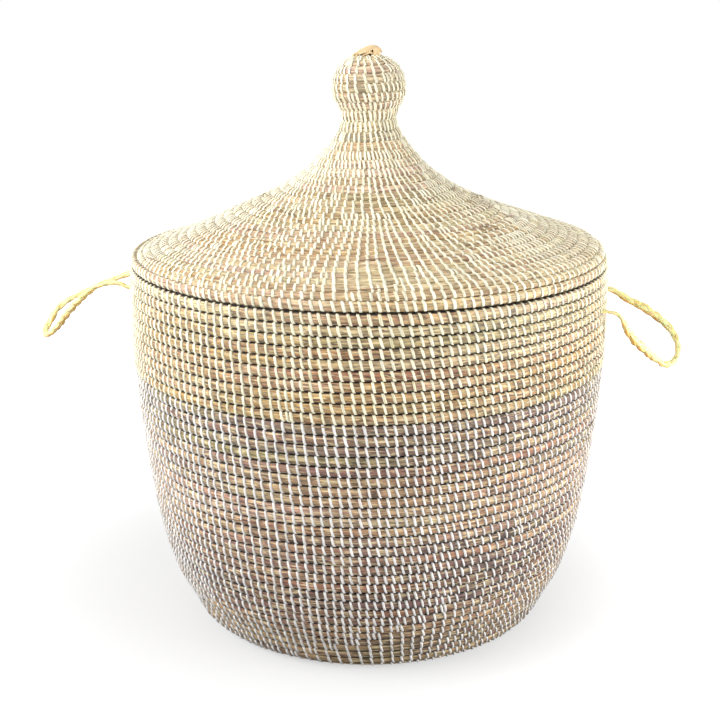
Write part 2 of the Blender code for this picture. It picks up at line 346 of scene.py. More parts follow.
def grassMaterial(name, look):
    g = Graph(name)
    tone = g.add("ShaderNodeAttribute", attribute_name="tone").outputs["Color"]
    fibres = g.noise((70.0, 26.0), 3.0)
    picks = g.noise((60.0, 15.0), 1.0, 5.0)
    reds = g.noise((50.0, 12.0), 1.0, 23.0)
    darks = g.noise((80.0, 15.0), 1.0, 11.0)
    spots = g.noise((90.0, 2.5), 1.0, 17.0)
    colour = g.mix(g.between(reds, 0.52, 0.60, 0.0, look["redShare"]), tone, linear(look["red"]))
    colour = g.mix(g.between(picks, 0.50, 0.60, 0.0, look["strawShare"]), colour, linear(look["straw"]))
    colour = g.mix(g.between(darks, 0.53, 0.63, 0.0, look["darkShare"]), colour, linear(look["dark"]))
    around = g.add("ShaderNodeSeparateXYZ",
                   {0: g.add("ShaderNodeUVMap", uv_map="Strand").outputs["UV"]}).outputs["Y"]
    swing = g.math("COSINE", g.math("MULTIPLY", around, 2 * math.pi))  # 1 towards the next row
    # painted shade: the grass darkens towards grooveShade where the row turns into the groove between rows
    shade = g.between(g.math("ABSOLUTE", swing), *look["gap"], look["level"], look["grooveShade"])
    # painted shade, with browner grass: darker on the row's lower side, lighter on its upper side
    shade = g.math("MULTIPLY", shade, g.between(swing, -0.9, 0.5, *look["lowSideShadeAndTone"]))
    shade = g.math("MULTIPLY", shade, g.between(fibres, 0.35, 0.65, *look["fibre"]))
    shade = g.math("MULTIPLY", shade, g.between(spots, 0.35, 0.65, 0.85, 1.10))
    return g.finish(g.scaled(colour, shade), fibres, 0.0006, look["roughness"], sheen=0.1)


# creaseShade: a painted shade colour, mixed in where the tone attribute marks a gap, an edge, a crease or an
# underside
creamLook = {"lit": "#FDFAE4", "shade": "#D8CC90", "creaseShade": "#84653C", "roughness": 0.44, "glow": 0.0}
# lidLook: the cream raffia again, with a lighter creaseShade, so less painted shade on the lid
lidLook = {"lit": "#FEFCE8", "shade": "#DED29C", "creaseShade": "#94743F", "roughness": 0.44, "glow": 0.0}
whiteLook = {"lit": "#F7F6F4", "shade": "#CCC6BC", "creaseShade": "#6A5648", "roughness": 0.42, "glow": 0.0}
yellowLook = {"lit": "#FFEFAE", "shade": "#F0C872", "creaseShade": "#E6A843", "roughness": 0.46, "glow": 0.35}
tipLook = {"lit": "#E6CA9A", "shade": "#C08E5C", "creaseShade": "#6E5236", "roughness": 0.48, "glow": 0.0}


def raffiaMaterial(name, look, scale=(30.0, 9.0)):  # pale strips with fine streaks along them
    g = Graph(name)
    streaks = g.noise(scale, 3.0)
    stains = g.noise((11.0, 2.0), 1.0, 4.0)
    colour = g.mix(g.between(streaks, 0.48, 0.70), linear(look["lit"]), linear(look["shade"]))
    tone = g.add("ShaderNodeAttribute", attribute_name="tone").outputs["Color"]
    tone = g.add("ShaderNodeSeparateColor", {0: tone})
    # painted shade: towards the crease colour where the tone's red marks a gap, an edge, a crease or an underside
    colour = g.mix(g.between(tone.outputs[0], 0.15, 0.85), colour, linear(look["creaseShade"]))
    shade = g.between(stains, 0.35, 0.70, 1.0, 0.86)
    shade = g.math("MULTIPLY", shade, g.between(tone.outputs[1], 0.0, 1.0, 0.88, 1.03))
    return g.finish(g.scaled(colour, shade), streaks, 0.0004, look["roughness"], 0.05, look["glow"])


wallGrass = grassMaterial("wall_grass", wallGrassLook)
lidGrass = grassMaterial("lid_grass", lidGrassLook)
creamRaffia = raffiaMaterial("cream_stitch_raffia", creamLook)
lidRaffia = raffiaMaterial("lid_stitch_raffia", lidLook)
whiteRaffia = raffiaMaterial("white_stitch_raffia", whiteLook)
yellowRaffia = raffiaMaterial("yellow_braid_raffia", yellowLook, (26.0, 5.0))
tipRaffia = raffiaMaterial("tan_tip_raffia", tipLook, (40.0, 7.0))
print("materials made")


# Handles: one braid a side, from its knot inside the wall, round the loop and back in.
handle = {
    "reach": 0.2115,
    "height": 0.285,
    "across": 0.0470,
    "knotFront": 0.1876,
    "wallFace": 0.1995,
    "diameter": 0.0064,
    "lateral": 0.0012,
    "vertical": 0.0007,
    "pitch": 0.0340,
    "strandWide": 0.0023,
    "strandThick": 0.0016,
    "fullness": {1: ([0, 0.11, 0.15, 0.19, 0.23, 0.3, 0.38, 0.46, 0.52, 0.58, 0.64, 0.75, 0.84, 0.92, 1],
                     [0.6, 0.65, 0.9, 1.1, 1.35, 1.5, 1.3, 0.95, 0.7, 0.75, 0.95, 1.1, 0.85, 0.6, 0.5]),
                 -1: ([0, 0.12, 0.25, 0.42, 0.55, 0.7, 0.85, 0.95, 1],
                      [0.65, 0.9, 1.15, 1.1, 0.9, 0.7, 0.8, 0.65, 0.55])},
    "turned": {1: ([0, 0.09, 0.14, 0.21, 0.30, 1], [0, 0, 1.1, 1.1, 0, 0]), -1: ([0, 1], [0, 0])},
    "blend": (0.2035, 0.2235),
}
rightRoute = [
    (-0.0470, 0.0000, -0.0036), (-0.0455, 0.0060, -0.0102), (-0.0400, 0.0095, -0.0188),
    (-0.0310, 0.0170, -0.0300), (-0.0190, 0.0280, -0.0425), (-0.0080, 0.0375, -0.0525),
    (0.0020, 0.0455, -0.0590), (0.0110, 0.0530, -0.0590), (0.0210, 0.0572, -0.0530),
    (0.0310, 0.0560, -0.0440), (0.0390, 0.0465, -0.0320), (0.0445, 0.0300, -0.0210),
    (0.0465, 0.0150, -0.0140), (0.0470, 0.0060, -0.0085), (0.0470, 0.0000, -0.0055),
]
leftRoute = [
    (-0.0470, 0.0000, 0.0078), (-0.0465, 0.0080, 0.0074), (-0.0440, 0.0180, 0.0048),
    (-0.0390, 0.0290, -0.0020), (-0.0320, 0.0410, -0.0120), (-0.0230, 0.0555, -0.0258),
    (-0.0120, 0.0720, -0.0435), (-0.0020, 0.0855, -0.0535), (0.0070, 0.0915, -0.0525),
    (0.0150, 0.0890, -0.0445), (0.0230, 0.0840, -0.0345), (0.0320, 0.0735, -0.0265),
    (0.0400, 0.0590, -0.0195), (0.0445, 0.0430, -0.0125), (0.0465, 0.0260, -0.0065),
    (0.0470, 0.0100, -0.0020), (0.0470, 0.0000, 0.0000),
]


def makeBraid(name, side, route, seed):
    h = handle
    inner = h["knotFront"] - h["reach"]
    path = [(-h["across"], inner - 0.004, 0.0), (-h["across"], inner / 2, route[0][2] / 2)]
    path += route + [(h["across"], inner / 2, route[-1][2] / 2), (h["across"], inner - 0.004, 0.0)]
    path = smoothThrough([(side * (h["reach"] + out), across, h["height"] + up) for across, out, up in path], 8)
    path = evenly(path, 0.0011)
    along = lengthAlong(path)
    _, lateral, rise = carry(path, (0.0, 1.0, 0.0))
    twist = np.interp(along / along[-1], *h["turned"][side]) + 0.45 * drift(along, 14.0, seed)
    twist = twist[:, None]
    lateral, rise = (lateral * np.cos(twist) + rise * np.sin(twist),
                     rise * np.cos(twist) - lateral * np.sin(twist))
    sides = 14
    turn = np.arange(sides) * 2 * math.pi / sides
    strands = []
    full = np.interp(along / along[-1], *h["fullness"][side])
    for i in range(3):
        phase = 2 * math.pi * (along / h["pitch"] + i / 3) + 0.5 * drift(along, 45.0, seed + 7 + i)
        loose = full * (1 + 0.12 * drift(along, 50.0, seed + 20 + i))
        centre = path + lateral * (h["lateral"] * loose * np.sin(phase))[:, None]
        centre = centre + rise * (h["vertical"] * full * np.sin(2 * phase))[:, None]
        _, flank, top = carry(centre, lateral[0])
        wide = h["strandWide"] * full * (1 + 0.14 * drift(along, 50.0, seed + 30 + i))
        thick = h["strandThick"] * full * (1 + 0.12 * drift(along, 50.0, seed + 40 + i))
        relief = 1 + 0.09 * np.cos(turn * 5 + 1.3 * i)[None] + 0.05 * drift(
            along[:, None] * 60 + np.arange(sides)[None] * 13.7, 1.0, seed + 50 + i)
        ring = (centre[:, None]
                + flank[:, None] * (np.cos(turn)[None] * relief * wide[:, None])[..., None]
                + top[:, None] * (np.sin(turn)[None] * relief * thick[:, None])[..., None])
        strands.append(ring)
    hairs = []
    random = np.random.default_rng(seed)
    for i in range(16):
        start = random.integers(20, len(path) - 40)
        count = random.integers(10, 26)
        pick = np.arange(start, start + count)
        away = np.linspace(0, 1, count) ** 2 * random.uniform(0.0006, 0.0022)
        turnAway = random.uniform(0, 2 * math.pi)
        outward = lateral[pick] * math.cos(turnAway) + rise[pick] * math.sin(turnAway)
        line = path[pick] + outward * (h["diameter"] * 0.42 + away)[:, None]
        line = evenly(line, lengthAlong(line)[-1] / 9.01)[:10]
        hairs.append(tubeRings(line, np.linspace(0.00028, 0.0001, 10), 6))
    parts = joinParts([sweep(np.array(strands)), sweep(np.array(hairs))])
    away = np.array(strands) - path[None, :, None]
    low = -away[..., 2] / (h["strandWide"] * full[:, None])
    deepShade = 1.9 - np.linalg.norm(away, axis=-1) / (h["lateral"] * full[:, None])
    tones = np.zeros((len(parts[0]), 3))  # red: painted shade, gold, on the underside and in the creases between the strands
    tones[:low.size, 0] = np.clip(np.maximum(0.2 + 0.5 * low, deepShade), 0, 1).ravel()
    tones[:, 1] = 1.0
    piece = buildMesh(name, parts, yellowRaffia, tones)
    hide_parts(f"{name[:-6]}_handle_loop", f"{name[:-6]}_front_handle_leg", f"{name[:-6]}_back_handle_leg")
    low, high = h["blend"]
    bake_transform(piece)
    print(f"{name}: {along[-1]:.3f} m")


makeBraid("right_braid", 1, rightRoute, 11)
makeBraid("left_braid", -1, leftRoute, 47)

# Stopper knots at the braid ends inside the wall.
knot = {"radius": 0.0075, "length": 0.0115, "strand": 0.0021}


def makeKnot(name, side, across, node, seed):
    turn = np.linspace(0, 2 * math.pi, 73)[:-1]
    size = (knot["radius"] - knot["strand"]) / 3
    loop = np.stack([-np.sin(3 * turn) * (knot["length"] / 2 - knot["strand"]),
                     (np.sin(turn) + 2 * np.sin(2 * turn)) * size,
                     (np.cos(turn) - 2 * np.cos(2 * turn)) * size], 1)
    spin = np.random.default_rng(seed).uniform(0, 2 * math.pi)
    y, z = loop[:, 1].copy(), loop[:, 2].copy()
    loop[:, 1] = y * math.cos(spin) - z * math.sin(spin)
    loop[:, 2] = y * math.sin(spin) + z * math.cos(spin)
    loop[:, 0] = side * (handle["knotFront"] - knot["length"] / 2) + side * loop[:, 0]
    loop += (0, across, handle["height"])
    rings = tubeRings(loop, knot["strand"] * (1 + 0.1 * np.sin(5 * turn)), 10)
    tones = np.tile((0.15, 0.8, 0.0), (rings.shape[0] * rings.shape[1], 1))
    piece = buildMesh(name, sweep(rings[None], closed=True), yellowRaffia, tones)
    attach(piece, "basket")
    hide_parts(node)


for sideName, side in (("right", 1), ("left", -1)):
    for endName, sign in (("front", -1), ("back", 1)):
        makeKnot(f"{sideName}_{endName}_knot", side, sign * handle["across"],
                 f"{sideName}_{endName}_handle_leg", 60 + 2 * side + sign)
print("handles made")


# The coil: rows of grass along an outline of (radius, height) points, each row a turn of one spiral.
coilSection = {
    "halfThick": 0.00375,
    "grassHalf": 0.00345,
    "ringStep": 0.006,
    "sides": 24,
    "relief": 0.00013,
    "wobble": 0.00022,
    "square": 0.78,
}


def squarer(x):  # keeps the sign; below 1 the section fills out towards its corners
    return np.sign(x) * np.abs(x) ** coilSection["square"]


class Coil:
    def __init__(self, points, edges, side, spin, levelFrom, levelBy, seed, press=0.0, sag=None):
        self.points = np.array(points)
        self.press = press  # how far each row sinks into the next
        self.sag = sag or {"side": 0, "focus": 1, "rows": [0], "rise": [0], "drop": [0], "inward": [0]}
        self.along = lengthAlong(self.points)
        self.edges = np.array(edges)
        self.rows = len(edges) - 1
        self.side = side    # which side of the outline is the outside
        self.spin = spin    # 1 turns anticlockwise from above, -1 clockwise
        self.level = (levelFrom, levelBy)
        self.seed = seed
        grid = np.linspace(0, self.rows, self.rows * 60 + 1)
        self.grid = grid
        self.gridRadius = np.maximum(self.section(grid)[0], 0.0015)
        self.gridLength = np.concatenate(
            [[0], np.cumsum(np.diff(grid) * math.pi * (self.gridRadius[1:] + self.gridRadius[:-1]))])

    def at(self, s):
        return np.interp(s, self.along, self.points[:, 0]), np.interp(s, self.along, self.points[:, 1])

    def middle(self, s):  # half the coil's thickness under the outline
        r1, z1 = self.at(s - 0.0015)
        r2, z2 = self.at(s + 0.0015)
        size = np.maximum(np.hypot(r2 - r1, z2 - z1), 1e-9)
        r, z = self.at(s)
        depth = coilSection["halfThick"] * self.side
        return np.maximum(r - depth * (z2 - z1) / size, 0), z + depth * (r2 - r1) / size

    def border(self, t):  # where the lower side of the row at t lies along the outline
        t = np.asarray(t, float)
        row = np.floor(t)
        part = t - row
        level = ease((t - self.level[0]) / (self.level[1] - self.level[0]))
        x = row + (1 - level) * (part - 0.5) + level * ease((part - 0.86) / 0.14)
        s = np.interp(x, np.arange(self.rows + 1), self.edges)
        fade = np.clip(np.minimum(t, self.rows - t), 0, 1)
        s = s + coilSection["wobble"] * fade * drift(t, 17.0, self.seed)
        return np.clip(s, 0, self.edges[-1])

    def section(self, t):  # centre, half height, direction along the outline and outwards
        lowR, lowZ = self.middle(self.border(t))
        highR, highZ = self.middle(self.border(t + 1))
        reach = np.maximum(np.hypot(highR - lowR, highZ - lowZ), 1e-5)
        er, ez = (highR - lowR) / reach, (highZ - lowZ) / reach
        return (lowR + highR) / 2, (lowZ + highZ) / 2, reach / 2, er, ez, self.side * ez, -self.side * er

    def place(self, t, phi, lift):  # a point on the row at t, phi round it from outside towards the next row
        r, z, half, er, ez, nr, nz = self.section(t)
        up = (half + self.press + lift) * squarer(np.sin(phi))
        out = (coilSection["grassHalf"] + lift) * squarer(np.cos(phi))
        angle = math.pi / 2 + self.spin * 2 * math.pi * t
        sag = self.sag
        sunk = np.exp(sag["focus"] * (np.cos(angle - math.radians(sag["side"])) - 1))  # 1 at the sunken side
        inward = sunk * np.interp(t, sag["rows"], sag["inward"])
        drop = sunk * np.interp(t, sag["rows"], sag["drop"]) - np.interp(t, sag["rows"], sag["rise"])
        radius = np.maximum(r + er * up + nr * out - inward, 0.0)
        height = z + ez * up + nz * out - drop
        return np.stack([radius * np.cos(angle), radius * np.sin(angle), height], -1)

    def aside(self, t):  # 0 at the front and back, 1 at the right, -1 at the left
        return np.cos(math.pi / 2 + self.spin * 2 * math.pi * np.asarray(t))

    def table(self, rows, t):  # a (rows, values, swing) table: the value at t, with its swing to the sides
        return np.interp(t, rows[0], rows[1]) + np.interp(t, rows[0], rows[2]) * self.aside(t)

    def radius(self, t):
        return np.interp(t, self.grid, self.gridRadius)

    def length(self, t):
        return np.interp(t, self.grid, self.gridLength)


palette = {
    "straw": "#E4D3A2",
    "tan": "#C2A075",
    "ochre": "#C49A58",
    "rust": "#A87558",
    "pink": "#CDA998",
    "olive": "#8F8657",
    "greyOlive": "#87806A",
    "mauve": "#7E625E",
    "dark": "#473733",
}


def toneAlong(coil, t, track, seed):  # grass colour from a track of (row, tone weights), with seeded drift
    rows = [row for row, _ in track]
    length = coil.length(t)
    weights = []
    for i, name in enumerate(palette):
        share = np.interp(t, rows, [weight.get(name, 0.0) for _, weight in track])
        patches = 2.2 * drift(length, 6.0, seed + i)
        flecks = 1.1 * drift(length, 22.0, seed + 40 + i)
        weights.append(share * np.exp(patches + flecks))
    weights = np.array(weights)
    weights /= weights.sum(0)
    return weights.T @ np.array([linear(colour) for colour in palette.values()])


def makeGrass(name, coil, start, stop, track, material, body, nodes):
    c = coilSection
    grid = np.linspace(start, stop, max(50, int((stop - start) * 60)))
    density = np.maximum(2 * math.pi * coil.radius(grid) / c["ringStep"], 22)
    count = np.concatenate([[0], np.cumsum(np.diff(grid) * (density[1:] + density[:-1]) / 2)])
    t = np.interp(np.linspace(0, count[-1], int(count[-1]) + 2), count, grid)
    sides = c["sides"]
    phi = math.pi / 2 - np.arange(sides) * 2 * math.pi / sides
    length = coil.length(t)
    relief = np.where(np.arange(sides) % 2, -1.0, 1.0)[None] * (
        1 + 0.8 * drift(length[:, None] * 11 + np.arange(sides)[None] * 37.1, 1.0, coil.seed + 5))
    relief = relief + 0.7 * drift(length[:, None] * 25 + np.arange(sides)[None] * 17.9, 1.0, coil.seed + 6)
    rings = coil.place(t[:, None], phi[None], c["relief"] * relief)
    total = length[-1] - length[0]
    strips = max(1, round(math.sqrt(total / 0.025)))
    parts = sweep(rings[None], along=length[None], strips=strips, girth=0.025)
    tones = np.repeat(toneAlong(coil, t, track, coil.seed + 100), sides, axis=0)
    piece = buildMesh(name, parts, material, tones)
    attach(piece, body)
    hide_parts(*nodes)


stitch = {
    "phi": [90, 68, 44, 17, -12, -42, -67, -90, -125, -155, 180, 155, 125],
    "jitter": 0.0004,
    "height": 0.00085,
    "toe": 0.0005,
    "taper": 0.25,
    "apart": 11,
    # deepShade and flank: painted shade on the stitches, in the gap between rows and along both edges of each strip
    "deepShade": {"basket": 1.0, "lid": 0.5},
    "flank": {"basket": 0.62, "lid": 0.80},
}


def stitchPlaces(coil, spacing, drag, start, stop, seed):
    # Each stitch follows one in the row before; columns are added or dropped as the rows change length.
    random = np.random.default_rng(seed)
    grid = coil.grid
    gaps = np.interp(grid, spacing[0], spacing[1])
    due = np.concatenate([[0], np.cumsum(np.diff(coil.gridLength) / gaps[1:])])
    ideal = due - np.interp(start, grid, due)
    pull = coil.table(drag, grid) * coil.spin / (2 * math.pi * coil.gridRadius)
    places = [start]
    while places[-1] < start + 1:
        places.append(float(np.interp(len(places), ideal, grid)))
    i = 1
    changed = 0
    while places[-1] < stop:
        before, here, after = places[i - 1], places[i], places[i + 1]
        wish = 0.5 * here + 0.25 * (before + after) + 1 + float(np.interp(here + 1, grid, pull))
        last = places[-1]
        step = float(np.interp(wish, grid, gaps)) / (2 * math.pi * float(coil.radius(wish)))
        share = (wish - last) / step
        apart = len(places) - changed > stitch["apart"]
        i += 1
        if share < 0.45 or (share < 0.62 and apart):  # too close: this column ends
            changed = len(places)
            continue
        if share > 1.8 or (share > 1.4 and apart):  # too far: a new column starts
            places.append(last + (wish - last) * random.uniform(0.46, 0.54))
            changed = len(places)
        places.append(wish + step * 0.3 * (min(max(share, 0.88), 1.12) - share))
    even = np.interp(np.arange(len(places)), ideal, grid)
    print(f"stitches {len(places)}, {len(even[even < stop])} if evenly spaced")
    return np.array([p for p in places if start <= p <= stop])


def makeStitches(name, coil, places, start, stop, lean, width, material, body):
    s = stitch
    t = places[(places >= start) & (places < stop)]
    random = np.random.default_rng(int(start * 10) + coil.seed)
    phi = np.radians(s["phi"])
    down = np.sin(phi) * coil.spin  # 1 at the upper side of the row as seen on the basket
    outer = np.cos(phi) > -0.01
    lean = coil.table(lean, t) + 0.0005 * random.uniform(-1, 1, len(t))
    wide = np.interp(t, width[0], width[1]) * (1 + 0.13 * random.uniform(-1, 1, len(t)))
    nudge = s["jitter"] * random.uniform(-1, 1, len(t))
    low = ease((-np.sin(phi) - 0.6) / 0.4)  # towards the row before, where the strip goes in
    along = nudge[:, None] - lean[:, None] / 2 * down[None]
    along = along + np.where(outer, s["toe"] * low * coil.spin, 0)[None]
    along = along + 0.00012 * random.uniform(-1, 1, along.shape)
    narrow = np.where(outer, 1 - s["taper"] * low, 0.8)
    across = np.array([-0.5, -0.34, 0.20, 0.5])
    lift = np.array([-0.25, 0.95, 0.75, -0.25]) * s["height"]
    place = along[:, :, None] + wide[:, None, None] * narrow[None, :, None] * across[None, None, :]
    radius = np.maximum(coil.radius(t), 0.004)
    local = t[:, None, None] + coil.spin * place / (2 * math.pi * radius[:, None, None])
    thick = 1 + 0.25 * random.uniform(-1, 1, len(t))
    thick = thick[:, None] * (1 - 0.8 * np.sin(phi) ** 8)[None]  # pulled thin between the rows
    rings = coil.place(local, phi[None, :, None], lift[None, None] * thick[:, :, None])
    steps = np.linspace(0, 0.026, len(phi) + 1)[None] + np.arange(len(t))[:, None] * 0.371
    tones = np.zeros((*rings.shape[:3], 3))  # red: painted shade, deep in the gap between rows or along both edges of the strip, green: the strip's own tint
    deepShade = s["deepShade"][body] * np.abs(np.sin(phi)) ** 8
    tones[..., 0] = np.maximum(deepShade[None, :, None], np.array([1, 0, 0, 1]) * s["flank"][body])
    tones[..., 1] = random.uniform(0, 1, len(t))[:, None, None]
    parts = sweep(rings, closed=True, along=steps, girth=0.006)
    piece = buildMesh(name, parts, material, tones.reshape(-1, 3))
    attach(piece, body)


# Body: the base, the wall and the rim are one coil.
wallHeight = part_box("rim_coil")[1].z
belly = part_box("upper_wall")[1].x
body = {
    "baseRows": 18,
    "lowerRows": 28,
    "creamRows": 9,
    "creamPitch": 0.00844,
    "rimHeight": 0.0090,
    "opening": 0.0001,
    "foot": [(0.0, 0.0), (0.070, 0.0), (0.130, 0.0), (0.144, 0.0), (0.1515, 0.0018), (0.1556, 0.0052)],
    "spacing": ([0, 2, 10, 18, 44, 56], [0.0045, 0.0056, 0.0060, 0.0061, 0.0060, 0.0058]),
    "drag": ([0, 20, 34, 44, 56], [0.0, 0.0, 0.0003, -0.0002, 0.0001], [0.0, 0.0, 0.0002, -0.0002, 0.0001]),
    "lean": ([0, 18, 56], [0.0016, 0.0022, 0.0024], [0.0, 0.0010, 0.0015]),
    "width": ([0, 18, 44, 48, 56], [0.0021, 0.0024, 0.0024, 0.0027, 0.0029]),
}
wallShares = [
    (0.03, 0.771), (0.08, 0.807), (0.16, 0.868), (0.30, 0.924), (0.50, 0.967), (0.70, 0.995),
    (0.88, 1.000), (1.00, 0.996),
]
bodyTrack = [
    (0, {"tan": 1, "straw": 1, "olive": 0.5}),
    (17, {"tan": 1, "straw": 0.4, "rust": 0.3}),
    # rows 19 to 22: darker grass at the foot, painted shade where the wall meets the floor
    (19, {"tan": 0.5, "mauve": 0.5, "dark": 0.6, "olive": 0.4}),
    (22, {"tan": 0.8, "mauve": 0.6, "dark": 0.4, "olive": 0.4}),
    (25, {"tan": 0.6, "mauve": 0.8, "rust": 0.4, "dark": 0.4}),
    (28, {"mauve": 0.8, "dark": 0.9, "tan": 0.3}),
    (32, {"mauve": 1, "rust": 0.5, "tan": 0.5, "dark": 0.4}),
    (37, {"pink": 0.6, "rust": 0.7, "straw": 0.3, "tan": 0.5, "mauve": 0.4}),
    (42, {"mauve": 0.8, "greyOlive": 0.6, "rust": 0.5, "tan": 0.3, "olive": 0.3}),
    (45.9, {"greyOlive": 0.9, "olive": 0.3, "mauve": 0.7}),
    (46.1, {"olive": 0.8, "ochre": 0.8, "tan": 0.6, "rust": 0.3}),
    (50, {"rust": 0.6, "ochre": 0.8, "pink": 0.3, "tan": 0.6, "olive": 0.4}),
    (54, {"tan": 0.8, "ochre": 0.6, "olive": 0.6, "straw": 0.5, "rust": 0.2}),
    (55.5, {"straw": 0.9, "pink": 0.4, "tan": 0.6, "ochre": 0.4}),
]


def bodyCoil():
    b = body
    top = wallHeight - b["opening"]
    wall = smoothThrough([(share * belly, height * top) for height, share in wallShares], 16)
    points = np.vstack([smoothThrough(b["foot"] + [tuple(wall[0])], 16)[:-1], wall])
    along = lengthAlong(points)
    total = along[-1]
    foot = lengthAlong(np.array(b["foot"]))[3] + 0.0035
    cream = total - b["rimHeight"] - b["creamRows"] * b["creamPitch"]
    edges = list(np.linspace(0, foot, b["baseRows"] + 1))
    edges += list(np.linspace(foot, cream, b["lowerRows"] + 1)[1:])
    edges += [cream + b["creamPitch"] * (i + 1) for i in range(b["creamRows"])]
    edges.append(total)
    print(f"body rows: base {foot / b['baseRows']:.4f}, lower {(cream - foot) / b['lowerRows']:.4f} m")
    return Coil(points, edges, 1, 1, 52, 55, 3)


wallCoil = bodyCoil()
wallCuts = [
    ("floor", "", 0, 18, "base_coil", "floor_grass", whiteRaffia),
    ("lower", "_1", 18, 28, "lower_wall", "white_stitched_grass", whiteRaffia),
    ("lower", "_2", 28, 37, "lower_wall", "white_stitched_grass", whiteRaffia),
    ("lower", "_3", 37, 46, "lower_wall", "white_stitched_grass", whiteRaffia),
    ("upper", "", 46, 55, "upper_wall", "cream_stitched_grass", creamRaffia),
    ("rim", "", 55, 56, "rim_coil", "cream_stitched_grass", creamRaffia),
]
for name, number, low, high, node, slot, _ in wallCuts:
    makeGrass(f"{name}_grass_coil{number}", wallCoil, max(low, 0.3), min(high, 55.995), bodyTrack, wallGrass,
              "basket", [node])
wallStitches = stitchPlaces(wallCoil, body["spacing"], body["drag"], 0.5, 55.97, 5)
print(f"body stitches: {len(wallStitches)}")
for name, number, low, high, _, slot, material in wallCuts:
    makeStitches(f"{name}_stitches{number}", wallCoil, wallStitches, low, high, body["lean"], body["width"],
                 material, "basket")
print("body made")

# Lid: the knob, the neck, the bell and the edge are one coil, from the tip down.
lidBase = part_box("lid_rim_coil")[0].z
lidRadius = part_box("lid_rim_coil")[1].x
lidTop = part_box("lid_neck")[1].z
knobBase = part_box("knob_coil")[0].z
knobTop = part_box("knob_coil")[1].z
lid = {
    "knobRows": 9,
    "neckRows": 5,
    "coneRows": 10,
    "shoulderRows": 9,
    "edgeRows": 2,
    "neckRadius": 0.0229,
    "knobRadius": 0.0314,
    "spacing": ([0, 1, 3, 5, 9, 14, 18, 23, 28, 33, 35],
                [0.0022, 0.0030, 0.0042, 0.0048, 0.0035, 0.0036, 0.0047, 0.0056, 0.0062, 0.0063, 0.0064]),
    "drag": ([0, 9, 14, 20, 33, 35], [0.0, 0.0, 0.0, -0.0002, -0.0002, 0.0],
             [0.0, 0.0, 0.0002, 0.0011, 0.0011, 0.0]),
    "lean": ([0, 5, 9, 14, 20, 28, 32, 35], [0.0018, 0.0022, 0.0016, 0.0020, 0.0024, 0.0024, 0.0020, 0.0020],
             [0.0, 0.0, 0.0, -0.0012, -0.0034, -0.0044, -0.0030, 0.0]),
    "width": ([0, 2, 5, 9, 14, 20, 28, 35], [0.0013, 0.0020, 0.0026, 0.0022, 0.0023, 0.0027, 0.0031, 0.0032]),
    "sag": {
        "side": 165,
        "focus": 1.1,
        "rows": [20, 22, 26, 28, 30, 32.8, 33.8, 34.1],
        "rise": [0, 0.0003, 0.0012, 0.0015, 0.0015, 0.0015, 0.0006, 0],
        "drop": [0, 0.0008, 0.0045, 0.0062, 0.0072, 0.0076, 0.0045, 0],
        "inward": [0, 0, 0.0010, 0.0020, 0.0030, 0.0040, 0.0040, 0],
    },
    "press": 0.0005,
    "opening": 0.0006,
}
lidShares = [
    (0.000, 0.983), (0.050, 0.985), (0.097, 0.973), (0.140, 0.938), (0.210, 0.812), (0.292, 0.670),
    (0.393, 0.516), (0.511, 0.370), (0.637, 0.264), (0.763, 0.194), (0.889, 0.137),
]
knobShares = [
    (0.11, 0.758), (0.24, 0.892), (0.37, 0.976), (0.50, 1.000), (0.64, 0.953), (0.75, 0.882),
    (0.85, 0.747), (0.93, 0.589), (0.98, 0.337),
]
lidTrack = [
    (0, {"straw": 1, "pink": 0.6, "greyOlive": 0.3}),
    (9, {"straw": 1, "pink": 0.4, "greyOlive": 0.5}),
    (16, {"straw": 1, "pink": 0.4, "tan": 0.4, "olive": 0.3}),
    (24, {"pink": 0.6, "straw": 0.8, "rust": 0.4, "olive": 0.3, "ochre": 0.4}),
    (30, {"straw": 0.9, "pink": 0.6, "ochre": 0.4, "tan": 0.3, "rust": 0.2}),
    (33, {"straw": 1, "tan": 0.4, "pink": 0.5, "ochre": 0.2}),
    (35, {"straw": 1, "tan": 0.5, "pink": 0.4, "ochre": 0.2}),
]


def lidCoilShape():
    knobHeight = knobTop - knobBase
    base = lidBase + lid["opening"]
    height = lidTop - base
    points = [(0.0, knobTop), (0.0045, knobTop)]
    points += [(share * lid["knobRadius"], knobBase + part * knobHeight) for part, share in reversed(knobShares)]
    points.append((lid["neckRadius"], lidTop))
    neck = len(points) - 1
    points += [(share * lidRadius, base + part * height) for part, share in reversed(lidShares)]
    curve = smoothThrough(points, 16)
    along = lengthAlong(curve)
    neckAlong = along[neck * 16]
    rows = lid["neckRows"] + lid["coneRows"] + lid["shoulderRows"] + lid["edgeRows"]
    edges = list(np.linspace(0, neckAlong, lid["knobRows"] + 1))
    edges += list(np.linspace(neckAlong, along[-1], rows + 1)[1:])
    print(f"lid rows: knob {neckAlong / lid['knobRows']:.4f}, lid {(along[-1] - neckAlong) / rows:.4f} m")
    return Coil(curve, edges, -1, -1, 31, 34, 8, lid["press"], lid["sag"])


lidCoil = lidCoilShape()
lidCuts = [
    ("knob", 0.25, 9, "knob_coil"),
    ("neck", 9, 14, "lid_neck"),
    ("cone", 14, 24, "lid_cone"),
    ("shoulder", 24, 33, "lid_shoulder"),
    ("edge", 33, 34.995, "lid_rim_coil"),
]
lidStitches = stitchPlaces(lidCoil, lid["spacing"], lid["drag"], 0.4, 34.97, 9)
print(f"lid stitches: {len(lidStitches)}")
for name, low, high, node in lidCuts:
    makeGrass(f"{name}_grass_coil", lidCoil, low, high, lidTrack, lidGrass, "lid",
              [node])
    makeStitches(f"{name}_stitches", lidCoil, lidStitches, low, high, lid["lean"], lid["width"], lidRaffia,
                 "lid")
print("lid made")

